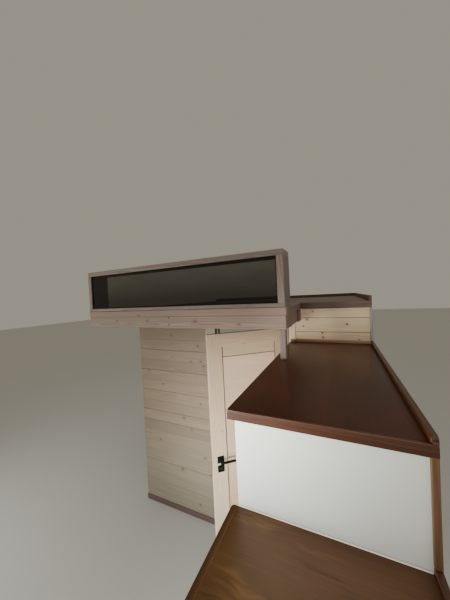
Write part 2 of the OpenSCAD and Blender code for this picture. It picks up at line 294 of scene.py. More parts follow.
        mark = s.step(s.noise(s.vec("MULTIPLY", q, (6.5, 80.0, 80.0)), detail=1.5), 0.58, 0.70)
        light = s.math("MULTIPLY", light, s.math("MULTIPLY_ADD", s.math("MULTIPLY", mark, here), -dashes, 1.0))
    if figure is not None:
        flame = s.step(s.noise(s.vec("MULTIPLY", q, (5.5, 34.0, 34.0)), detail=3.0), 0.48, 0.70)
        cloud = s.step(s.noise(s.vec("MULTIPLY", q, (2.4, 9.0, 9.0)), detail=1.5), 0.36, 0.62)
        flame = s.math("MULTIPLY", flame, s.math("MULTIPLY", cloud, strong))
        colour = s.mix(1.0, colour, s.mix(flame, (0.94, 0.94, 0.92), (1.62, 1.74, 2.20)), blend="MULTIPLY")
    colour = s.gain(colour, light)
    # painted light and shade: a slow tint along one axis, partly the board's own change of colour and partly light and
    # shade painted onto the piece
    if stain_and_light_fade is not None:
        axis, v0, v1, tint0, tint1 = stain_and_light_fade
        along = s.split(s.node("ShaderNodeTexCoord").outputs["Object"])[axis]
        colour = s.mix(1.0, colour, s.mix(s.step(along, v0, v1), tint0, tint1), blend="MULTIPLY")
    # edge tint: a lighter edge_color is partly wear and partly a painted highlight, a darker one is partly dirt and
    # partly painted shade in the groove
    if edge > 0 and edge_wear_and_painted_light is not None:
        colour = s.mix(s.math("MULTIPLY", edge_wear_and_painted_light, s.math("MULTIPLY", s.step(narrow, 0.2, 0.6, 0.6, 1.0), edge)), colour,
                       edge_color or tuple(min(1.0, c * 1.8) for c in early))
    s.set(Base_Color=s.vec("MULTIPLY", colour, stain))
    s.set(Roughness=s.math("MULTIPLY_ADD", fibre, 0.12, rough - 0.06), Specular_IOR_Level=spec)
    if coat > 0:
        s.set(Coat_Weight=coat, Coat_Roughness=coat_rough)
    s.bump(s.math("ADD", s.math("MULTIPLY", fibre, 0.6), s.math("MULTIPLY", dark, 0.4)), bump)
    return s.mat


def painted(name, colour, rough=0.35, peel=0.00012, grime=0.06, spec=0.5):
    """Sprayed or rolled paint on board: fine orange peel, uneven tone, and edges a little lighter, partly from wear and
    partly as a painted highlight.
    """
    s = Shader(name)
    o = s.node("ShaderNodeTexCoord").outputs["Object"]
    edge_wear_and_painted_light = s.node("ShaderNodeAttribute", attribute_name="edge").outputs["Fac"]
    cloud = s.noise(o, 3.0, 3.0, 0.6)
    roller = s.noise(s.vec("MULTIPLY", o, (60.0, 60.0, 9.0)), 1.0, 2.0)
    light = s.math("MULTIPLY_ADD", s.math("SUBTRACT", cloud, 0.5), grime, 1.0)
    light = s.math("MULTIPLY", light, s.math("MULTIPLY_ADD", s.math("SUBTRACT", roller, 0.5), grime * 0.5, 1.0))
    base = s.gain(colour, light)
    # edges a little lighter: partly wear, partly a painted highlight
    s.set(Base_Color=s.mix(s.math("MULTIPLY", edge_wear_and_painted_light, 0.25), base, tuple(min(1.0, c * 1.1) for c in colour)))
    s.set(Roughness=s.math("MULTIPLY_ADD", s.noise(o, 40.0, 2.0), 0.10, rough - 0.05), Specular_IOR_Level=spec)
    s.bump(s.noise(o, 420.0, 2.0, 0.5), peel)
    return s.mat


def metal(name, colour, rough, metallic, grain=900.0, depth=0.00006, spec=0.5):
    s = Shader(name)
    o = s.node("ShaderNodeTexCoord").outputs["Object"]
    n = s.noise(o, grain, 2.0, 0.6)
    wear = s.noise(o, 60.0, 4.0, 0.65)
    s.set(Base_Color=s.gain(colour, s.math("MULTIPLY_ADD", s.math("SUBTRACT", wear, 0.5), 0.3, 1.0)))
    s.set(Metallic=metallic, Specular_IOR_Level=spec)
    s.set(Roughness=s.math("MULTIPLY_ADD", n, 0.16, rough - 0.08))
    s.bump(n, depth)
    return s.mat


def glass(name):
    s = Shader(name)
    o = s.node("ShaderNodeTexCoord").outputs["Object"]
    smear = s.noise(s.vec("MULTIPLY", o, (3.0, 3.0, 9.0)), 1.0, 4.0, 0.6)
    # painted light: the pane is darker at the bottom and lighter at the top
    painted_light_gradient = s.step(s.split(o)[2], 2.29, 2.53, 0.50, 1.28)
    s.set(Base_Color=s.gain((0.130, 0.121, 0.106), s.math("MULTIPLY", painted_light_gradient, s.math("MULTIPLY_ADD", smear, 0.5, 0.75))))
    s.set(Roughness=s.math("MULTIPLY_ADD", s.step(smear, 0.45, 0.8), 0.05, 0.02))
    s.set(IOR=1.40, Transmission_Weight=1.0)
    return s.mat


# ---------------------------------------------------------------- mesh helper
class Boards:
    """Collects rounded boards into one mesh, each with its own grain and tone."""

    def __init__(self):
        self.bm = bmesh.new()
        self.grain = self.bm.verts.layers.float_vector.new("grain")
        self.tone = self.bm.verts.layers.float_vector.new("tone")
        self.edge = self.bm.verts.layers.float.new("edge")

    def _mark(self, verts, centre, axes, tone, move):
        i = ["xyz".index(c) for c in axes]
        shift = rnd.uniform(-3, 3)
        for v in verts:
            d = v.co - centre
            v[self.grain] = Vector((d[i[0]] + shift, d[i[1]], d[i[2]]))
            v[self.tone] = tone
            if move is not None:
                v.co = move @ v.co

    def board(self, a, b, axes, r=0.0025, seg=2, tone=None, move=None, tight="", r_tight=0.0004):
        """a, b: corners. axes: grain direction, width, thickness, such as 'xzy'.
        tight: faces that meet a neighbour, such as '-x+x', whose edges are only just broken."""
        a, b = Vector(a), Vector(b)
        size = b - a
        r = min(r, min(size) * 0.45)
        made = bmesh.ops.create_cube(self.bm, size=1.0)["verts"]
        for v in made:
            v.co = Vector((a[k] + (v.co[k] + 0.5) * size[k] for k in range(3)))
        verts = set(made)
        planes = [("xyz".index(tight[i + 1]), (b if tight[i] == "+" else a)["xyz".index(tight[i + 1])]) for i in range(0, len(tight), 2)]
        inside = lambda e: any(all(abs(v.co[k] - c) < 1e-6 for v in e.verts) for k, c in planes)
        if r > 0:
            edges = [e for e in {e for v in made for e in v.link_edges} if not inside(e)]
            out = bmesh.ops.bevel(self.bm, geom=edges, offset=r, segments=seg, affect="EDGES", profile=0.5, clamp_overlap=True)
            verts = {v for v in made if v.is_valid} | set(out["verts"])
            if planes:
                edges = [e for e in {e for v in verts for e in v.link_edges} if inside(e) and len(e.link_faces) == 2 and e.calc_face_angle() > 0.5]
                out = bmesh.ops.bevel(self.bm, geom=edges, offset=min(r_tight, r), segments=1, affect="EDGES", profile=0.5, clamp_overlap=True)
                verts = {v for v in verts if v.is_valid} | set(out["verts"])
        for v in verts:
            flat = any(abs(v.co[k] - a[k]) < 1e-6 or abs(v.co[k] - b[k]) < 1e-6 for k in range(3))
            v[self.edge] = 0.0 if flat else 1.0
        tone = tone if tone is not None else Vector((rnd.random(), rnd.random(), rnd.random()))
        self._mark(verts, (a + b) / 2, axes, tone, move)

    def prism(self, outline, z1, z2, axes, r=0.0025, seg=2, tone=None, move=None, frame="xyz", sides="both"):
        """A flat piece with a free outline, rounded along the edges of its two flat faces or of the low one.
        frame: the axes of the outline's two numbers and of its thickness."""
        low = [self.bm.verts.new((x, y, z1)) for x, y in outline]
        face = self.bm.faces.new(low)
        ext = bmesh.ops.extrude_face_region(self.bm, geom=[face])["geom"]
        high = [g for g in ext if isinstance(g, bmesh.types.BMVert)]
        for v in high:
            v.co.z = z2
        verts = set(low) | set(high)
        edges = [e for e in {e for v in verts for e in v.link_edges} if abs(e.verts[0].co.z - e.verts[1].co.z) < 1e-7
                 and (sides == "both" or abs(e.verts[0].co.z - z1) < 1e-7)]
        faces = {f for v in verts for f in v.link_faces}
        bmesh.ops.recalc_face_normals(self.bm, faces=list(faces))
        if r > 0:
            out = bmesh.ops.bevel(self.bm, geom=edges, offset=r, segments=seg, affect="EDGES", profile=0.5, clamp_overlap=True)
            verts = {v for v in verts if v.is_valid} | set(out["verts"])
        for v in verts:
            d = min(v.co.z - z1, z2 - v.co.z)
            v[self.edge] = 1.0 if 0.05 * r < d < 0.95 * r else 0.0
        centre = Vector((sum(x for x, y in outline) / len(outline), sum(y for x, y in outline) / len(outline), (z1 + z2) / 2))
        if frame != "xyz":
            k = ["xyz".index(c) for c in frame]
            turned = lambda p: Vector([p[k.index(i)] for i in range(3)])
            for v in verts:
                v.co = turned(v.co)
            centre = turned(centre)
        tone = tone if tone is not None else Vector((rnd.random(), rnd.random(), rnd.random()))
        self._mark(verts, centre, axes, tone, move)

    def rod(self, centre, axis, radius, length, seg=40, r=0.0, move=None, hollow=None):
        """A turned piece along an axis, with its end edges rounded."""
        made = bmesh.ops.create_cone(self.bm, cap_ends=True, segments=seg, radius1=radius, radius2=radius, depth=length)["verts"]
        turn = Vector((0, 0, 1)).rotation_difference(Vector(axis)).to_matrix().to_4x4()
        for v in made:
            v.co = turn @ v.co + Vector(centre)
        verts = set(made)
        if r > 0:
            ax = Vector(axis).normalized()
            edges = [e for e in {e for v in made for e in v.link_edges} if abs((e.verts[0].co - e.verts[1].co).dot(ax)) < 1e-6 and len(e.link_faces) == 2]
            out = bmesh.ops.bevel(self.bm, geom=edges, offset=r, segments=2, affect="EDGES", profile=0.5)
            verts = {v for v in verts if v.is_valid} | set(out["verts"])
        self._mark(verts, Vector(centre), "zxy", Vector((0.5, 0.5, 0.5)), move)

    def done(self, name, material, body, replaces=(), slot=None):
        mesh = bpy.data.meshes.new(name)
        bmesh.ops.recalc_face_normals(self.bm, faces=self.bm.faces)
        self.bm.to_mesh(mesh)
        self.bm.free()
        for p in mesh.polygons:
            p.use_smooth = True
        obj = bpy.data.objects.new(name, mesh)
        scene.collection.objects.link(obj)
        obj.data.materials.append(material)
        mod = obj.modifiers.new("even_normals", "WEIGHTED_NORMAL")
        mod.weight = 100
        mod.keep_sharp = True
        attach(obj, body)
        if replaces:
            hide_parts(*([replaces] if isinstance(replaces, str) else replaces))
        return obj


def repaint(node, material):
    o = frame["nodes"][node]
    o.data.materials.clear()
    o.data.materials.append(material)


# ---------------------------------------------------------------- materials
KNOT = srgb(96, 66, 42)
# knots that sit at particular places: x and z on the face, radius
RISER_KNOTS = ((0.996, 2.057, 0.010), (0.668, 2.040, 0.008), (0.698, 2.093, 0.009), (0.814, 1.985, 0.009),
               (0.817, 1.948, 0.009), (1.075, 1.937, 0.006), (0.746, 2.160, 0.006))
LEFT_KNOTS = ((-0.384, 1.825, 0.010), (-0.476, 1.656, 0.008), (-0.358, 1.665, 0.011), (-0.325, 1.621, 0.010),
              (-0.384, 1.220, 0.010), (-0.363, 0.662, 0.010), (-0.303, 0.499, 0.009), (-0.448, 0.148, 0.010),
              (-0.512, 0.930, 0.008), (-0.86, 1.38, 0.010), (-0.94, 0.74, 0.009), (-0.71, 1.93, 0.010))
BEAM_KNOTS = ((-0.016, 2.148, 0.011), (-0.471, 2.152, 0.009), (-0.82, 2.152, 0.008), (-0.56, 2.197, 0.007),
              (0.33, 2.131, 0.007))

# painted light: the fade makes these boards lighter and cooler towards the floor and darker up under the loft;
# edge_color darkens the grooves, partly dirt and partly painted shade
pine_left = wood("pine_boards_below_loft", srgb(200, 184, 158), srgb(166, 146, 118), ring=0.0050, contrast=0.58,
                 streak=0.11, fine=0.07, tone=0.11, knots=0.13, knot_color=srgb(122, 100, 78), knot_r=0.0090, wash=0.22,
                 wash_color=srgb(198, 186, 166), edge=0.55, edge_color=srgb(88, 72, 54), rough=0.6, spec=0.35,
                 placed=LEFT_KNOTS, stain_and_light_fade=(2, 0.0, 1.5, (1.15, 1.32, 1.42), (0.97, 0.92, 0.90)), stain=(0.419, 0.369, 0.356))
# painted light: the fade makes the riser boards lighter at the left end and darker at the right end; edge_color darkens
# the grooves, partly dirt and partly painted shade
pine = wood("pine_boards", srgb(206, 188, 154), srgb(174, 150, 112), ring=0.0050, contrast=0.75, streak=0.09, fine=0.07,
            tone=0.06, knots=0.12, knot_color=KNOT, knot_r=0.0085, wash=0.22, wash_color=srgb(208, 192, 164), edge=0.75,
            edge_color=srgb(92, 72, 48), rough=0.58, spec=0.35, placed=RISER_KNOTS,
            stain_and_light_fade=(0, 0.66, 1.08, (1.17, 1.17, 1.18), (0.75, 0.74, 0.73)), stain=(0.970, 0.913, 0.898))
# painted light: the fade makes the door lighter near the floor and darker towards the top under the beam, and the light
# edge_color is partly a painted highlight
door_pine = wood("whitewashed_pine", srgb(222, 208, 194), srgb(200, 182, 166), ring=0.0052, contrast=0.7, streak=0.08,
                 fine=0.09, tone=0.035, knots=0.10, knot_color=srgb(164, 136, 112), knot_r=0.006, wash=0.30,
                 wash_color=srgb(224, 213, 200), edge=0.6, edge_color=srgb(244, 230, 214), rough=0.5, spec=0.4,
                 stain_and_light_fade=(2, 0.3, 1.6, (1.07, 1.14, 1.16), (0.95, 0.89, 0.87)),
                 stain=(0.774, 0.679, 0.526))
# the fade makes the panel boards lighter towards their top, partly painted light; edge_color darkens the edge grooves,
# partly dirt and partly painted shade
panel_pine = wood("whitewashed_pine_panel", srgb(220, 205, 190), srgb(200, 181, 165), ring=0.0052, contrast=0.7,
                  streak=0.08, fine=0.09, tone=0.03, knots=0.10, knot_color=srgb(164, 136, 112), knot_r=0.006, wash=0.30,
                  wash_color=srgb(222, 210, 197), edge=0.8, edge_color=srgb(96, 84, 76), rough=0.5, spec=0.4,
                  stain_and_light_fade=(2, 1.45, 1.95, (0.95, 0.94, 0.94), (1.20, 1.17, 1.17)), stain=(0.846, 0.698, 0.567))
# painted shade: a dark copy of the door pine for the tongue in the groove round the panel
groove_shade_pine = wood("shaded_tongue", srgb(132, 108, 90), srgb(104, 84, 70), ring=0.0052, contrast=0.7, streak=0.08,
                   fine=0.09, tone=0.03, rough=0.6, spec=0.3, stain=(0.420, 0.380, 0.340))
# painted shade: the door pine darkened for the jambs, head, stops and casing that lie in shadow by the loft
frame_pine_shaded = wood("frame_pine_painted_shade", srgb(222, 208, 194), srgb(200, 182, 166), ring=0.0052, contrast=0.7, streak=0.08,
                  fine=0.09, tone=0.035, rough=0.55, spec=0.35, stain=(0.440, 0.420, 0.385))
# edge_color darkens the edges, partly dirt and partly painted shade
trim_pine = wood("pine_trim", srgb(222, 206, 184), srgb(200, 180, 154), ring=0.0052, contrast=0.6, streak=0.07,
                 fine=0.07, tone=0.02, rough=0.55, spec=0.35, edge=0.3, edge_color=srgb(170, 150, 124),
                 stain=(1.067, 0.875, 0.736))
jamb_pine = wood("pine_jamb", srgb(222, 206, 184), srgb(200, 180, 154), ring=0.0052, contrast=0.6, streak=0.07,
                 fine=0.07, tone=0.02, rough=0.55, spec=0.35, stain=(1.050, 0.880, 0.740))
# painted shade: the pale corner strip darkened for the right-hand strip
corner_pine_shaded = wood("pale_corner_strip", srgb(206, 190, 176), srgb(184, 166, 152), ring=0.0052, contrast=0.6, streak=0.07,
                   fine=0.07, tone=0.02, rough=0.55, spec=0.35, stain=(0.338, 0.326, 0.418))
newel_pine = wood("grey_stained_newel", srgb(172, 150, 136), srgb(134, 110, 96), ring=0.0054, contrast=0.8, streak=0.13,
                  fine=0.10, tone=0.06, wash=0.12, wash_color=srgb(176, 158, 146), edge=0.25, rough=0.55, spec=0.35,
                  stain=(0.438, 0.415, 0.424))
# painted light: the fade makes the beam lighter towards its right end
grey_pine = wood("grey_stained_pine", srgb(172, 150, 136), srgb(134, 110, 96), ring=0.0054, contrast=0.8, streak=0.13,
                 fine=0.10, tone=0.06, knots=0.14, knot_color=srgb(104, 82, 70), knot_r=0.009, wash=0.12,
                 wash_color=srgb(176, 158, 146), edge=0.25, rough=0.55, spec=0.35, placed=BEAM_KNOTS,
                 stain_and_light_fade=(0, -0.6, 0.3, (0.96, 0.98, 0.94), (1.16, 1.13, 1.18)), stain=(0.599, 0.557, 0.520))
# painted shade: the fade makes the guard a little darker towards its right end
guard_pine = wood("grey_stained_guard", srgb(172, 150, 136), srgb(134, 110, 96), ring=0.0054, contrast=0.8, streak=0.13,
                  fine=0.10, tone=0.06, knots=0.10, knot_color=srgb(104, 82, 70), knot_r=0.008, wash=0.12,
                  wash_color=srgb(176, 158, 146), edge=0.25, rough=0.55, spec=0.35,
                  stain_and_light_fade=(0, -0.6, 0.62, (1.0, 1.0, 1.0), (0.94, 0.94, 0.96)), stain=(0.554, 0.550, 0.564))
# painted shade: a darker copy of the guard pine for the outer face of the right upright
guard_shade_cover = wood("grey_pine_painted_shade_cover", srgb(172, 150, 136), srgb(134, 110, 96), ring=0.0054, contrast=0.8, streak=0.13,
                   fine=0.10, tone=0.06, edge=0.25, rough=0.55, spec=0.35, stain=(0.400, 0.390, 0.410))
# painted shadow: a dark strip for the shadow line in the joint between guard and cap
joint_shadow_strip = wood("painted_joint_shadow", srgb(58, 46, 40), srgb(44, 34, 30), ring=0.0054, contrast=0.6, streak=0.10, fine=0.10,
                  tone=0.05, rough=0.7, spec=0.2, stain=(0.450, 0.450, 0.450))
# partly painted shade: darker than the grey-stained pine, for the beam side that faces away from the light and the
# beads behind the glass
side_pine_and_shade = wood("brown_stained_pine_and_painted_shade", srgb(104, 84, 70), srgb(78, 60, 50), ring=0.0046, contrast=0.65, streak=0.12,
                 fine=0.10, tone=0.06, knots=0.15, knot_color=srgb(48, 35, 29), rough=0.55, spec=0.35,
                 stain=(1.211, 1.234, 1.411))
# painted shade: dark brown for the cover on the side beam's right face
shade_cover_pine = wood("painted_shade_cover", srgb(78, 58, 46), srgb(56, 40, 32), ring=0.0046, contrast=0.6, streak=0.12,
                  fine=0.10, tone=0.05, rough=0.5, spec=0.35, stain=(1.482, 1.516, 1.758))
nose_pine = wood("grey_brown_nosing", srgb(112, 92, 82), srgb(86, 68, 60), ring=0.0046, contrast=0.6, streak=0.10,
                 fine=0.10, tone=0.05, rough=0.5, spec=0.35, stain=(0.684, 0.584, 0.524))
# edge_color darkens the grooves between floor boards, partly dirt and partly painted shade
floor_pine = wood("loft_floor_boards", srgb(120, 96, 82), srgb(90, 70, 58), ring=0.0046, contrast=0.6, streak=0.10,
                  fine=0.08, tone=0.08, knots=0.25, knot_color=srgb(56, 40, 32), edge=0.5, edge_color=srgb(58, 44, 36),
                  rough=0.5, spec=0.35, stain=(0.684, 0.584, 0.524))
timber = wood("plain_timber", srgb(216, 190, 146), srgb(186, 148, 100), ring=0.0048, contrast=0.6, streak=0.10,
              fine=0.08, tone=0.08, knots=0.3, knot_color=KNOT, rough=0.65, board_coords=False)
# the fade makes the tread bluer towards its right end, partly the boards' own colour and partly painted light
oak = wood("oiled_oak_tread", srgb(112, 80, 52), srgb(90, 62, 40), ring=0.0085, contrast=0.30, streak=0.06, fine=0.04,
           tone=0.09, pores=0.05, dashes=0.46, mottle=srgb(96, 64, 44), mottle_scale=2.8, rough=0.45, spec=0.3,
           coat=0.05, coat_rough=0.3, bump=0.00010, stain_and_light_fade=(0, 0.60, 1.00, (1.00, 1.03, 0.98), (1.03, 0.98, 1.50)),
           stain=(0.733, 0.655, 0.339), figure=(0, 0.74, 1.02, 1.0, 0.10))
lipping = wood("red_brown_lipping", srgb(98, 54, 32), srgb(72, 38, 22), ring=0.005, contrast=0.6, streak=0.14, fine=0.10,
               tone=0.05, pores=0.25, rough=0.42, spec=0.3, coat=0.05, coat_rough=0.25, stain=(0.712, 0.879, 0.384))
# painted highlight: a lighter line along the band's inner edge
lipping_highlight = wood("lipping_painted_highlight_line", srgb(126, 82, 54), srgb(108, 68, 44), ring=0.005, contrast=0.4, streak=0.12,
                     fine=0.08, tone=0.05, rough=0.42, spec=0.3, stain=(0.700, 0.700, 0.700))
# painted light: the fade makes the landing's left end much lighter and bluer, a painted reflection on the varnish
dark_oak = wood("dark_varnished_oak", srgb(66, 40, 31), srgb(54, 32, 25), ring=0.0085, contrast=0.45, streak=0.10,
                fine=0.05, tone=0.06, pores=0.10, mottle=srgb(52, 34, 22), mottle_scale=3.4, rough=0.34, spec=0.18,
                coat=0.06, coat_rough=0.16, bump=0.00005,
                stain_and_light_fade=(0, 0.53, 0.74, (1.52, 1.90, 2.75), (0.98, 0.94, 0.86)), stain=(1.250, 0.751, 0.455))
# the fade darkens the nosing's left end as painted shade, and the lighter edge_color is partly a painted highlight on
# its rounded edge
nosing = wood("nosing_red_brown", srgb(124, 78, 56), srgb(96, 57, 41), ring=0.0066, contrast=0.7, streak=0.16, fine=0.10,
              tone=0.06, pores=0.15, knots=0.25, knot_color=srgb(78, 44, 30), knot_r=0.007, edge=0.45,
              edge_color=srgb(150, 102, 78), rough=0.38, spec=0.3, coat=0.08, coat_rough=0.2,
              stain_and_light_fade=(0, 0.57, 0.76, (0.61, 0.48, 0.43), (0.93, 0.89, 0.86)), stain=(0.354, 0.385, 0.415))
strip = wood("brown_strip", srgb(112, 74, 50), srgb(84, 54, 36), ring=0.005, contrast=0.5, streak=0.12, fine=0.10,
             tone=0.06, pores=0.15, edge=0.1, edge_color=srgb(134, 92, 62), rough=0.42, spec=0.3, coat=0.06,
             coat_rough=0.22, stain=(0.420, 0.325, 0.270))
# painted light: lighter copies of the brown strip for the uprights and for the foot along the partition
strip_upright_lit = wood("brown_strip_upright_painted_light", srgb(112, 74, 50), srgb(84, 54, 36), ring=0.005, contrast=0.5, streak=0.12,
                     fine=0.10, tone=0.06, pores=0.15, edge=0.4, edge_color=srgb(134, 92, 62), rough=0.42, spec=0.3,
                     coat=0.06, coat_rough=0.22, stain=(0.869, 1.078, 1.148))
strip_foot_lit = wood("brown_strip_foot_painted_light", srgb(112, 74, 50), srgb(84, 54, 36), ring=0.005, contrast=0.5, streak=0.12,
                  fine=0.10, tone=0.06, pores=0.15, edge=0.4, edge_color=srgb(134, 92, 62), rough=0.42, spec=0.3,
                  stain=(1.559, 1.926, 2.302))
strip_dark = wood("dark_floor_strip", srgb(70, 50, 42), srgb(52, 37, 31), ring=0.005, contrast=0.5, streak=0.12,
                  fine=0.10, tone=0.06, rough=0.5, spec=0.3, stain=(1.500, 1.150, 1.050))
strip_end = wood("brown_strip_end", srgb(138, 98, 66), srgb(108, 74, 48), ring=0.003, contrast=0.6, streak=0.10,
                 fine=0.12, tone=0.05, rough=0.55, spec=0.3, stain=(0.400, 0.345, 0.320))
skirting = wood("grey_brown_skirting", srgb(122, 102, 92), srgb(98, 80, 72), ring=0.0046, contrast=0.5, streak=0.10,
                fine=0.08, tone=0.05, rough=0.5, spec=0.35, stain=(0.680, 0.630, 0.700))
white = painted("white_painted_board", srgb(213, 214, 208), rough=0.34, spec=0.4)
# pale bead, brighter than the white boards as a partly painted highlight
bead_white = painted("pale_bead", srgb(252, 240, 228), rough=0.5, spec=0.3)
# painted shadow: a grey line for the shadow between bead and board
bead_shadow_line = painted("bead_painted_shadow_line", srgb(186, 181, 172), rough=0.6, spec=0.2)
black = metal("black_powder_coat", (0.004, 0.004, 0.004), 0.70, 0.0, grain=1500.0, depth=0.00005, spec=0.12)
screw_dark = metal("dark_screw_head", (0.020, 0.017, 0.015), 0.50, 0.3, grain=900.0, depth=0.00004)
steel = metal("brushed_steel_small", (0.55, 0.55, 0.56), 0.35, 1.0, grain=500.0)
smoked = glass("smoked_glass")


# ---------------------------------------------------------------- sizes from the frame
def box(node):
    a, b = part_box(node)
    return Vector(a), Vector(b)


LB0, LB1 = box("landing_board")
WT0, WT1 = box("wide_tread")
CAP0, CAP1 = box("front_cap")
BM0, BM1 = box("front_beam")
SB0, SB1 = box("side_beam")
SC0, SC1 = box("side_cap")
NW0, NW1 = box("newel_post")
PL0, PL1 = box("partition_boards_left")
PR0, PR1 = box("partition_boards_right")
FP0, FP1 = box("landing_front_panel")
GT0, GT1 = box("guard_top_board")
GB0, GB1 = box("guard_bottom_board")
GS0, GS1 = box("guard_side_boards")
GG0, GG1 = box("guard_glass")
LN0, LN1 = box("landing_nosing")
FF0, FF1 = box("loft_floor_front")
FR0, FR1 = box("loft_floor_rear")
XR = WT1.x
XT = WT0.x
RISER = 0.310
GOING = 0.250
NOSE = 0.014
TREAD = 0.036
PANEL = 0.018
XCAB = FP0.x
Y0 = box("narrow_treads")[0].y
step_y = lambda k: Y0 + NOSE + (k - 1) * GOING
Y_LAND = FP0.y
Z_LAND = LB1.z
Y_PART = PL0.y
FACE_Y = Y_PART - 0.014
X_TRIM = SB0.x
STRIP_UP = 0.012


# ---------------------------------------------------------------- stair
def rounded_corner(cx, cy, r, a0, a1, n=6):
    return [(cx + r * math.cos(a0 + (a1 - a0) * i / n), cy + r * math.sin(a0 + (a1 - a0) * i / n)) for i in range(n + 1)]


def tread_pieces(field, band, line, y1, y2, z):
    """One tread: a board across the stair, and a band on the free end that covers its end grain."""
    w = 0.022
    field.board((XT + w, y1, z - TREAD), (XR, y2, z), "xyz", r=0.003, seg=3, tight="-x+x+y")
    # thin lighter line between board and band: painted highlight on the band's inner edge
    line.board((XT + w - 0.0028, y1 + 0.0015, z - 0.012), (XT + w, y2 - 0.0015, z), "yxz", r=0.0006, seg=1)
    rr, rf = 0.012, 0.005
    x2 = XT + w - 0.003
    pts = [(x2, y1), (x2, y2)]
    pts += rounded_corner(XT + rr, y2 - rr, rr, math.pi / 2, math.pi)
    pts += rounded_corner(XT + rf, y1 + rf, rf, math.pi, 1.5 * math.pi, 4)
    band.prism(pts, z - TREAD, z, "yxz", r=0.003, seg=3)
    band.board((x2, y1 + 0.002, z - TREAD + 0.001), (XT + w, y2 - 0.002, z - 0.0125), "yxz", r=0.0, seg=1)


def strip_run(b, ends, y1, y2, z, w, h, stop):
    """The strip that lies on a tread along the wall, its front end rounded down."""
    n, rr = 8, 0.013
    pts = [(y2, z), (y1, z), (y1, z + h - rr)]
    pts += [(y1 + rr - rr * math.cos(math.pi / 2 * i / n), z + h - rr + rr * math.sin(math.pi / 2 * i / n)) for i in range(1, n + 1)]
    pts += [(y2, z + h)]
    b.prism(pts, XR - w, XR, "yzx", r=0.004, seg=4, frame="yzx", sides="low")
    ends.board((XR - w + 0.0035, y1 - 0.0006, z + 0.001), (XR - 0.0005, y1 + 0.002, z + h - rr), "zxy", r=0.0004, seg=1)


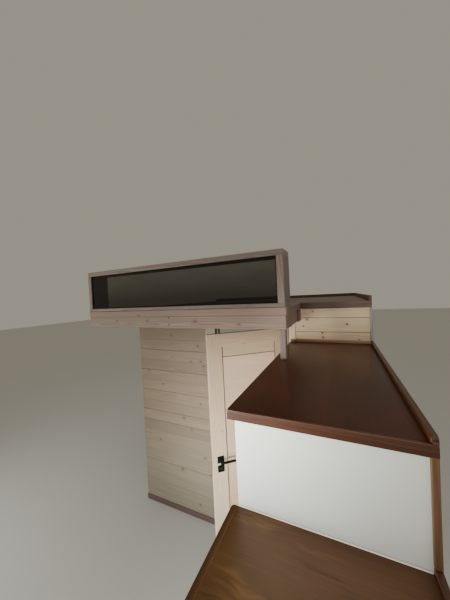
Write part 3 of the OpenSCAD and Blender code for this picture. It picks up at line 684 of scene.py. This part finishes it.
def make_stair():
    field, band, line = Boards(), Boards(), Boards()
    for k in range(1, 5):
        tread_pieces(field, band, line, step_y(k) - NOSE, step_y(k + 1), k * RISER)
    field.done("narrow_tread_boards", oak, "structure", "narrow_treads", "step_wood")
    band.done("narrow_tread_bands", lipping, "structure", (), "step_wood")
    line.done("narrow_tread_highlight_lines", lipping_highlight, "structure", (), "step_wood")
    field, band, line = Boards(), Boards(), Boards()
    tread_pieces(field, band, line, WT0.y, WT1.y, WT1.z)
    field.done("wide_tread_board", oak, "structure", "wide_tread", "step_wood")
    band.done("wide_tread_band", lipping, "structure", (), "step_wood")
    line.done("wide_tread_highlight_line", lipping_highlight, "structure", (), "step_wood")
    # the landing is one wide board, notched round the door lining
    b = Boards()
    notch_x, notch_y = PR0.x, FACE_Y
    pts = [(XT, LB0.y), (XR, LB0.y), (XR, LB1.y), (notch_x, LB1.y), (notch_x, notch_y), (XT, notch_y)]
    b.prism(pts, LB0.z, LB1.z, "yxz", r=0.0015, seg=3)
    b.done("landing_board_varnished", dark_oak, "structure", "landing_board", "landing_wood")
    b = Boards()
    rr = 0.0045
    pts = [(LN1.x, LN0.y), (LN1.x, LN1.y), (LN0.x, LN1.y)] + rounded_corner(LN0.x + rr, LN0.y + rr, rr, math.pi, 1.5 * math.pi)
    b.prism(pts, LN0.z, LN1.z, "xzy", r=0.003, seg=4)
    b.done("landing_nosing_strip", nosing, "structure", "landing_nosing", "step_wood")
    # white boards
    b = Boards()
    for k in range(1, 6):
        y = step_y(k)
        b.board((XCAB, y, 0), (XR, y + PANEL, k * RISER - TREAD), "xzy", r=0.0015, seg=3)
    b.done("step_front_boards", white, "structure", "step_front_panels", "white_panel")
    b = Boards()
    b.board(FP0, FP1, "xzy", r=0.002, seg=3)
    b.done("landing_front_board", white, "structure", "landing_front_panel", "white_panel")
    for node, name, x in (("cabinet_side_panels", "cabinet_side_boards", XCAB), ("wall_side_panels", "wall_side_boards", XR - PANEL)):
        b = Boards()
        for k in range(1, 6):
            y2 = step_y(k + 1) if k < 5 else Y_LAND
            b.board((x, step_y(k) + PANEL, 0), (x + PANEL, y2, k * RISER - TREAD), "zyx", r=0.0012)
        b.board((x, Y_LAND + PANEL, 0), (x + PANEL, Y_PART, LB0.z), "zyx", r=0.0012)
        b.done(name, white, "structure", node, "white_panel")
    # pale bead at the foot of each front board, lighter as a partly painted highlight, and the grey line above it that
    # is the painted shadow between bead and board
    b, painted_shadow_boards = Boards(), Boards()
    for k in range(1, 6):
        y = step_y(k + 1) if k < 5 else Y_LAND
        b.board((XCAB, y - 0.0036, k * RISER + 0.0005), (XR - 0.0185, y, k * RISER + 0.0041), "xzy", r=0.0015, seg=4)
        painted_shadow_boards.board((XCAB + 0.001, y - 0.0006, k * RISER + 0.0043), (XR - 0.0185, y + 0.001, k * RISER + 0.0066), "xzy", r=0.0003, seg=1)
    b.done("foot_beads", bead_white, "structure", (), "white_panel")
    painted_shadow_boards.done("foot_shadow_lines", bead_shadow_line, "structure", (), "white_panel")
    # brown strip along the wall
    b, up, foot, ends = Boards(), Boards(), Boards(), Boards()
    w, h = 0.018, 0.022
    xs = XR - w
    for k in range(1, 6):
        front = Y_LAND if k == 5 else step_y(k + 1)
        top = Z_LAND if k == 5 else (k + 1) * RISER
        strip_run(b, ends, step_y(k) - NOSE + 0.0006, front, k * RISER, w, h, front)
        up.board((xs, front - STRIP_UP, k * RISER + h), (XR, front, top - TREAD), "zyx", r=0.003, seg=3, tight="+x+y")
    up.board((xs, step_y(1) - STRIP_UP, 0), (XR, step_y(1), RISER - TREAD), "zyx", r=0.003, seg=3, tight="+x+y")
    strip_run(b, ends, LN0.y + 0.0006, Y_PART, Z_LAND, w, h, Y_PART)
    foot.board((X_TRIM, Y_PART - w, Z_LAND), (xs, Y_PART, Z_LAND + h), "xzy", r=0.004, seg=3, tight="+x")
    foot.board((XT + 0.002, FACE_Y - w, Z_LAND), (X_TRIM, FACE_Y, Z_LAND + h), "xzy", r=0.004, seg=3)
    b.done("wall_strip_runs", strip, "structure", "wall_strip", "strip_wood")
    # the uprights and the foot take lighter copies of the strip colour: painted light
    up.done("wall_strip_uprights", strip_upright_lit, "structure", (), "strip_wood")
    foot.done("wall_strip_foot", strip_foot_lit, "structure", (), "strip_wood")
    ends.done("wall_strip_end_grain", strip_end, "structure", (), "strip_wood")


# ---------------------------------------------------------------- partition
PITCH = 0.1155


def laid_boards(b, x1, x2, y1, y2, z1, z2, phase=2.108, tight="-x+x", wide=None):
    """Horizontal matchboards from z1 to z2; the joints lie at phase minus whole pitches.
    wide: the heights of the joints that stand open; the others are pressed almost shut."""
    shut = lambda z: wide is not None and min(abs(z - w) for w in wide) > 0.02
    k = math.ceil((phase - z1) / PITCH)
    z = z1
    while z < z2 - 1e-6:
        k -= 1
        top = min(z2, phase - k * PITCH)
        if top - z > 0.004:
            here = tight + ("-z" if shut(z) else "") + ("+z" if shut(top) else "")
            b.board((x1, y1, z), (x2, y2, top), "xzy", r=rnd.uniform(0.0030, 0.0042), seg=2, tight=here,
                    r_tight=0.0013 if shut(z) or shut(top) else 0.0004)
        z = top


def make_partition():
    b = Boards()
    laid_boards(b, PL0.x, PL1.x, PL0.y, PL1.y, PL0.z, PL1.z, wide=(1.7615, 1.5305, 1.2995, 1.0685, 0.953, 0.491))
    b.done("matchboards_left", pine_left, "structure", "partition_boards_left", "pine_boards")
    b = Boards()
    laid_boards(b, PR0.x, PR1.x, PR0.y, PR1.y, PR0.z, PR1.z)
    b.done("matchboards_right", pine, "structure", "partition_boards_right", "pine_boards")
    h0, h1 = box("partition_boards_head")
    b = Boards()
    laid_boards(b, h0.x, h1.x, PL0.y, PL1.y, h0.z, h1.z)
    laid_boards(b, h0.x, h1.x, h1.y - 0.014, h1.y, h0.z, h1.z)
    b.done("matchboards_head", pine_left, "structure", "partition_boards_head", "pine_boards")
    k0, k1 = box("partition_back_boards")
    b = Boards()
    laid_boards(b, PL0.x, PL1.x, k0.y, k1.y, k0.z, k1.z)
    laid_boards(b, PR0.x, PR1.x, k0.y, k1.y, k0.z, k1.z)
    b.done("matchboards_back", pine_left, "structure", "partition_back_boards", "pine_boards")
    for n in ("partition_studs", "loft_joists", "end_ledger"):
        repaint(n, timber)
    # skirting in front of the boards
    c0, c1 = box("door_casing")
    b = Boards()
    b.board((PL0.x, PL0.y - 0.010, 0.0005), (c0.x - 0.0005, PL0.y, 0.055), "xzy", r=0.003, seg=3, tight="-x+x+y-z")
    b.done("skirting_left", skirting, "structure", (), "grey_pine")
    # doorway
    j0, j1 = box("door_jambs")
    d0, d1 = box("door_head")
    # the left jamb, head, stops and casing take the darker frame pine: painted shade
    b = Boards()
    b.board(j0, (PL1.x + 0.028, j1.y, j1.z), "zyx", r=0.002)
    b.done("jamb_board_left", frame_pine_shaded, "structure", "door_jambs", "door_pine")
    b = Boards()
    b.board((PR0.x - 0.028, j0.y, j0.z), j1, "zyx", r=0.002)
    b.done("jamb_board_right", jamb_pine, "structure", (), "door_pine")
    b = Boards()
    b.board(d0, d1, "xyz", r=0.002)
    b.done("head_board", frame_pine_shaded, "structure", "door_head", "door_pine")
    s0, s1 = box("door_stops")
    b = Boards()
    b.board(s0, (s0.x + 0.012, s1.y, s1.z - 0.012), "zyx", r=0.003)
    b.board((s1.x - 0.012, s0.y, s0.z), (s1.x, s1.y, s1.z - 0.012), "zyx", r=0.003)
    b.board((s0.x, s0.y, s1.z - 0.012), s1, "xyz", r=0.003)
    b.done("stop_strips", frame_pine_shaded, "structure", "door_stops", "door_pine")
    b = Boards()
    lin_l, lin_r, t = PL1.x, PR0.x, 0.014
    for y in (c0.y, c1.y - t):
        b.board((c0.x, y, 0), (lin_l, y + t, c1.z), "zxy", r=0.003, seg=3)
        b.board((lin_l, y, d1.z), (lin_r, y + t, c1.z), "xzy", r=0.003, seg=3)
    b.board((lin_r, c1.y - t, 0), (c1.x, c1.y, c1.z), "zxy", r=0.003, seg=3)
    b.done("casing_boards", frame_pine_shaded, "structure", "door_casing", "door_pine")
    b = Boards()
    b.board((lin_r, FACE_Y, Z_LAND), (X_TRIM, Y_PART, c1.z), "zxy", r=0.0015, seg=2, tone=Vector((0.3, 0.5, 0.4)))
    b.done("casing_above_landing", trim_pine, "structure", (), "door_pine")


# ---------------------------------------------------------------- loft
def floor_boards(b, x1, x2, y1, y2, z1, z2, groove=0.0022):
    n = max(1, round((y2 - y1) / 0.118))
    for i in range(n):
        a, c = y1 + (y2 - y1) * i / n, y1 + (y2 - y1) * (i + 1) / n
        b.board((x1, a, z1), (x2, c, z2), "xyz", r=groove * rnd.uniform(0.7, 1.2), seg=1, tight="-x+x")


def make_loft():
    b = Boards()
    b.board(BM0, BM1, "xzy", r=0.004, seg=4, tone=Vector((0.35, 0.55, 0.45)))
    b.done("front_beam_timber", grey_pine, "structure", "front_beam", "grey_pine")
    b = Boards()
    b.board(CAP0, CAP1, "xzy", r=0.004, seg=4, tone=Vector((0.8, 0.3, 0.7)))
    b.done("front_cap_board", grey_pine, "structure", "front_cap", "grey_pine")
    b = Boards()
    for z in (2.177, 2.123):
        b.rod((-0.255, BM0.y + 0.0006, z), (0, 1, 0), 0.0062, 0.003, seg=28, r=0.0006)
    b.done("beam_screws", screw_dark, "structure", (), "black_metal")
    b = Boards()
    b.board(SB0, SB1, "yzx", r=0.003, seg=3)
    b.done("side_beam_timber", side_pine_and_shade, "structure", "side_beam", "grey_pine")
    b = Boards()
    b.board(SC0, SC1, "yzx", r=0.003, seg=3)
    b.done("side_cap_board", side_pine_and_shade, "structure", "side_cap", "grey_pine")
    # thin dark cover on the side beam's right face: painted shade
    b = Boards()
    b.board((SB1.x, 0.2135, SB0.z - 0.007), (SB1.x + 0.006, Y_PART - 0.012, SC0.z), "zyx", r=0.0012, seg=2, tight="-x+y")
    b.done("side_beam_shade_cover", shade_cover_pine, "structure", (), "grey_pine")
    n0, n1 = box("loft_nosing")
    b = Boards()
    b.board(n0, n1, "xzy", r=0.004, seg=3)
    b.done("loft_nosing_board", nose_pine, "structure", "loft_nosing", "grey_pine")
    b = Boards()
    floor_boards(b, FF0.x, FF1.x, FF0.y, FF1.y, FF0.z, FF1.z)
    b.done("floor_boards_front", floor_pine, "structure", "loft_floor_front", "loft_floor")
    b = Boards()
    floor_boards(b, FR0.x, FR1.x, FR0.y, FR1.y, FR0.z, FR1.z)
    b.done("floor_boards_rear", floor_pine, "structure", "loft_floor_rear", "loft_floor")
    for node, name in (("ceiling_boards_front", "soffit_boards_front"), ("ceiling_boards_rear", "soffit_boards_rear")):
        a, c = box(node)
        b = Boards()
        floor_boards(b, a.x, c.x, a.y, c.y, a.z, c.z, 0.003)
        b.done(name, pine_left, "structure", node, "pine_boards")
    b = Boards()
    b.board(NW0, NW1, "zyx", r=0.004, seg=3, tone=Vector((0.6, 0.2, 0.8)))
    b.done("newel_timber", newel_pine, "structure", "newel_post", "grey_pine")
    f0, f1 = box("floor_strip")
    b = Boards()
    w = 0.018
    b.board((f0.x, f1.y - w, f0.z), (f1.x - w, f1.y, f1.z), "xzy", r=0.005, seg=3)
    b.board((f1.x - w, f0.y, f0.z), (f1.x, f1.y, f1.z), "yzx", r=0.005, seg=3)
    b.done("floor_strip_pieces", strip_dark, "structure", "floor_strip", "strip_wood")
    c0, c1 = box("riser_corner_strips")
    # right strip: the pale strip colour darkened as painted shade
    b = Boards()
    b.board((c1.x - 0.016, c0.y, LB1.z + 0.022), c1, "zyx", r=0.004, seg=3)
    b.done("corner_strip_right", corner_pine_shaded, "structure", "riser_corner_strips", "pine_boards")
    # left strip: the lighter trim colour lifts it out of the shadow it lies in, painted light
    b = Boards()
    b.board((c0.x, c0.y, BM0.z), (c0.x + 0.020, c1.y, c1.z), "zyx", r=0.004, seg=3)
    b.done("corner_strip_left", trim_pine, "structure", (), "pine_boards")


# ---------------------------------------------------------------- guard
def make_guard():
    b = Boards()
    b.board(GT0, GT1, "xyz", r=0.003, seg=3)
    b.done("guard_top_rail", guard_pine, "structure", "guard_top_board", "grey_pine")
    b = Boards()
    b.board(GB0, GB1, "xyz", r=0.004, seg=4)
    b.done("guard_bottom_rail", guard_pine, "structure", "guard_bottom_board", "grey_pine")
    # dark strip in the joint under the guard's bottom board: painted shadow line
    b = Boards()
    b.board((GB0.x + 0.001, GB0.y - 0.0002, GB0.z - 0.0003), (GB1.x - 0.001, GB0.y + 0.006, GB0.z + 0.0027), "xyz", r=0.0003, seg=1)
    b.done("guard_foot_shadow_line", joint_shadow_strip, "structure", (), "grey_pine")
    b = Boards()
    b.board(GS0, (GS0.x + 0.034, GS1.y, GS1.z), "zyx", r=0.003, seg=3, tone=Vector((0.3, 0.6, 0.1)))
    b.board((GS1.x - 0.045, GS0.y, GS0.z), (GS1.x - 0.004, GS1.y, GS1.z), "zyx", r=0.003, seg=3, tone=Vector((0.7, 0.4, 1.9)), tight="+x")
    b.done("guard_uprights", guard_pine, "structure", "guard_side_boards", "grey_pine")
    # a thin darker board on the right upright's outer face: painted shade on the side away from the light
    b = Boards()
    b.board((GS1.x - 0.004, GS0.y, GS0.z), GS1, "zyx", r=0.0016, seg=3, tight="-x")
    b.done("guard_upright_shade_cover", guard_shade_cover, "structure", (), "grey_pine")
    # thin glazing beads behind the glass, and a dark seal line round it in front
    b = Boards()
    x1, x2, z1, z2 = GG0.x, GG1.x, GG0.z, GG1.z
    for ya, yb, w in ((GG1.y, GG1.y + 0.012, 0.009),):
        b.board((x1, ya, z1), (x2, yb, z1 + w), "xzy", r=0.002)
        b.board((x1, ya, z2 - w), (x2, yb, z2), "xzy", r=0.002)
        b.board((x1, ya, z1 + w), (x1 + w, yb, z2 - w), "zxy", r=0.002)
        b.board((x2 - w, ya, z1 + w), (x2, yb, z2 - w), "zxy", r=0.002)
    b.done("glazing_beads", side_pine_and_shade, "structure", (), "grey_pine")
    b = Boards()
    ya, yb, w = GG0.y - 0.002, GG0.y, 0.0022
    b.board((x1, ya, z1), (x2, yb, z1 + w), "xzy", r=0.0006)
    b.board((x1, ya, z2 - w), (x2, yb, z2), "xzy", r=0.0006)
    b.board((x1, ya, z1 + w), (x1 + w, yb, z2 - w), "zxy", r=0.0006)
    b.board((x2 - w, ya, z1 + w), (x2, yb, z2 - w), "zxy", r=0.0006)
    b.done("glazing_seal", black, "structure", (), "black_metal")
    b = Boards()
    b.board(GG0, GG1, "xzy", r=0.0005, seg=1)
    b.done("glass_pane", smoked, "structure", "guard_glass", "smoked_glass")


# ---------------------------------------------------------------- door, built closed and turned open about its hinge line
HINGE = next(j for j in frame["joints"] if j["name"] == "door_hinge")["pos_m"]
LEVER = next(j for j in frame["joints"] if j["name"] == "lever_turn")
OPEN = math.radians(40.0)
TURN = Matrix.Translation((HINGE[0], HINGE[1], 0)) @ Matrix.Rotation(OPEN, 4, "Z") @ Matrix.Translation((-HINGE[0], -HINGE[1], 0))
FACE = HINGE[1] + 0.007
LX2 = HINGE[0] + 0.00275 - 0.0055
LX1 = LX2 - 0.707
FOOT, TOP, LEAF, STILE = 0.010, 2.0265, 0.040, 0.120
LEVER_X = LX1 + 0.066
LEVER_Z = LEVER["pos_m"][2]


def make_door():
    b = Boards()
    b.board((LX1, FACE, FOOT), (LX1 + STILE, FACE + LEAF, TOP), "zxy", r=0.004, seg=4, move=TURN, tone=Vector((0.3, 0.7, 0.55)),
            tight="+x", r_tight=0.0005)
    b.done("lock_stile_timber", door_pine, "door", "door_lock_stile", "door_pine")
    b = Boards()
    b.board((LX2 - STILE, FACE, FOOT), (LX2, FACE + LEAF, TOP), "zxy", r=0.004, seg=4, move=TURN, tight="-x", r_tight=0.0005)
    b.done("hinge_stile_timber", door_pine, "door", "door_hinge_stile", "door_pine")
    b = Boards()
    rail = 0.105
    xa, xb = LX1 + STILE, LX2 - STILE
    b.board((xa, FACE, TOP - rail), (xb, FACE + LEAF, TOP), "xzy", r=0.003, seg=3, move=TURN, tight="-x+x", r_tight=0.0004)
    b.board((xa, FACE, FOOT), (xb, FACE + LEAF, FOOT + 0.180), "xzy", r=0.003, seg=3, move=TURN, tight="-x+x", r_tight=0.0004)
    b.done("rail_timbers", door_pine, "door", "door_rails", "door_pine")
    b = Boards()
    z1, z2 = FOOT + 0.180, TOP - rail
    cuts = [z1, z1 + 0.085, 1.045, z2 - 0.085, z2]
    yf, yb = FACE + 0.012, FACE + LEAF - 0.012
    for lo, hi in zip(cuts, cuts[1:]):
        lo, hi = lo + (0.002 if lo in (cuts[1], cuts[3]) else 0.0), hi - (0.002 if hi in (cuts[1], cuts[3]) else 0.0)
        if hi == z2:
            b.done("panel_boards", panel_pine, "door", "door_panel", "door_pine")
            b = Boards()
        b.board((xa + 0.007, yf, lo), (xb - 0.007, yb, hi), "xzy", r=0.0030, seg=2, move=TURN, tight="-x+x")
    b.done("panel_top_board", door_pine, "door", (), "door_pine")
    # the thinner tongue that sits in the frame and leaves a narrow groove round the panel; its dark colour is painted
    # shade in the groove
    b = Boards()
    ya, yc = yf + 0.0065, yb - 0.0065
    b.board((xa, ya, z1), (xa + 0.007, yc, z2), "zxy", r=0.0004, seg=1, move=TURN)
    b.board((xb - 0.007, ya, z1), (xb, yc, z2), "zxy", r=0.0004, seg=1, move=TURN)
    for z in (cuts[1], cuts[3]):
        b.board((xa + 0.007, ya, z - 0.002), (xb - 0.007, yc, z + 0.002), "xzy", r=0.0004, seg=1, move=TURN)
    b.done("panel_tongues", groove_shade_pine, "door", (), "door_pine")
    # plates and lever
    b = Boards()
    for ya, yb in ((FACE - 0.008, FACE), (FACE + LEAF, FACE + LEAF + 0.008)):
        for z in (LEVER_Z, LEVER_Z - 0.072):
            b.board((LEVER_X - 0.026, ya, z - 0.026), (LEVER_X + 0.026, yb, z + 0.026), "zxy", r=0.0014, seg=3, move=TURN)
    b.done("square_plates", black, "door", "door_plates", "black_metal")
    b = Boards()
    for y in (FACE - 0.0088, FACE + LEAF + 0.0088):
        b.rod((LEVER_X, y, LEVER_Z - 0.072), (0, 1, 0), 0.0085, 0.0024, seg=36, r=0.0006, move=TURN)
    b.done("plate_inserts", screw_dark, "door", (), "black_metal")
    b = Boards()
    b.rod((LEVER_X, FACE + LEAF / 2, LEVER_Z), (0, 1, 0), 0.009, LEAF + 0.090, seg=48, move=TURN)
    b.done("lever_necks", black, "lever", "lever_spindle", "black_metal")
    b = Boards()
    for y in (FACE - 0.057, FACE + LEAF + 0.045):
        b.board((LEVER_X - 0.010, y, LEVER_Z - 0.008), (LEVER_X + 0.112, y + 0.012, LEVER_Z + 0.008), "xzy", r=0.0022, seg=3, move=TURN)
    b.done("lever_handles", black, "lever", "lever_bars", "black_metal")
    # latch plate in the free edge
    b = Boards()
    b.board((LX1 - 0.0008, FACE + 0.010, LEVER_Z - 0.11), (LX1 + 0.002, FACE + 0.030, LEVER_Z + 0.07), "zyx", r=0.0006, seg=1, move=TURN)
    b.done("latch_plate", steel, "door", (), "black_metal")
    for n in ("door_hinges", "frame_hinges"):
        repaint(n, black)


make_stair()
make_partition()
make_loft()
make_guard()
make_door()


# ---------------------------------------------------------------- stage and light
def make_stage():
    mesh = bpy.data.meshes.new("stage_floor")
    mesh.from_pydata([(-30, -30, -0.001), (30, -30, -0.001), (30, 30, -0.001), (-30, 30, -0.001)], [], [(0, 1, 2, 3)])
    floor = bpy.data.objects.new("stage_floor", mesh)
    scene.collection.objects.link(floor)
    s = Shader("stage_floor")
    o = s.node("ShaderNodeTexCoord").outputs["Object"]
    s.set(Base_Color=s.gain((0.60, 0.59, 0.57), s.math("MULTIPLY_ADD", s.noise(o, 0.6, 2.0), 0.04, 0.98)), Roughness=0.7)
    floor.data.materials.append(s.mat)
    world = bpy.data.worlds.new("studio")
    scene.world = world
    world.use_nodes = True
    bg = world.node_tree.nodes["Background"]
    bg.inputs["Color"].default_value = (1.0, 0.93, 0.76, 1.0)
    bg.inputs["Strength"].default_value = 0.34

    def area(name, place, target, size, power, colour=(1, 1, 1), spread=180.0):
        data = bpy.data.lights.new(name, "AREA")
        data.shape = "RECTANGLE"
        data.size, data.size_y = size
        data.energy = power
        data.color = colour
        data.spread = math.radians(spread)
        lamp = bpy.data.objects.new(name, data)
        lamp.location = place
        lamp.rotation_euler = (Vector(target) - Vector(place)).to_track_quat("-Z", "Y").to_euler()
        lamp.visible_camera = False
        scene.collection.objects.link(lamp)

    area("light_key", (0.3, -6.3865, 4.6), (0.3, -0.1865, 1.5), (3.4, 2.2), 52, (0.92, 0.97, 1.0))
    area("light_left", (0.0, -1.5865, 1.85), (0.60, -0.9465, 1.93), (0.4, 0.3), 3.4, (1.0, 1.0, 0.93), 50.0)
    area("light_door", (0.0, -3.3865, 1.35), (0.16, 0.0135, 1.05), (0.6, 0.6), 13.5, (0.90, 0.97, 1.0), 40.0)
    area("light_window", (-3.2, -2.7865, 1.15), (0.2, 0.0135, 1.3), (1.6, 1.1), 78, (0.95, 1.0, 0.95))
    area("light_top", (0.6, -1.2865, 5.6), (0.4, 0.0135, 1.5), (3.2, 3.2), 27.5, (1.0, 0.98, 0.95))
    area("light_wall", (2.4, -1.0, 2.5), (0.9, -0.6, 1.8), (2.4, 1.6), 15.7, (0.90, 0.93, 1.0))


make_stage()
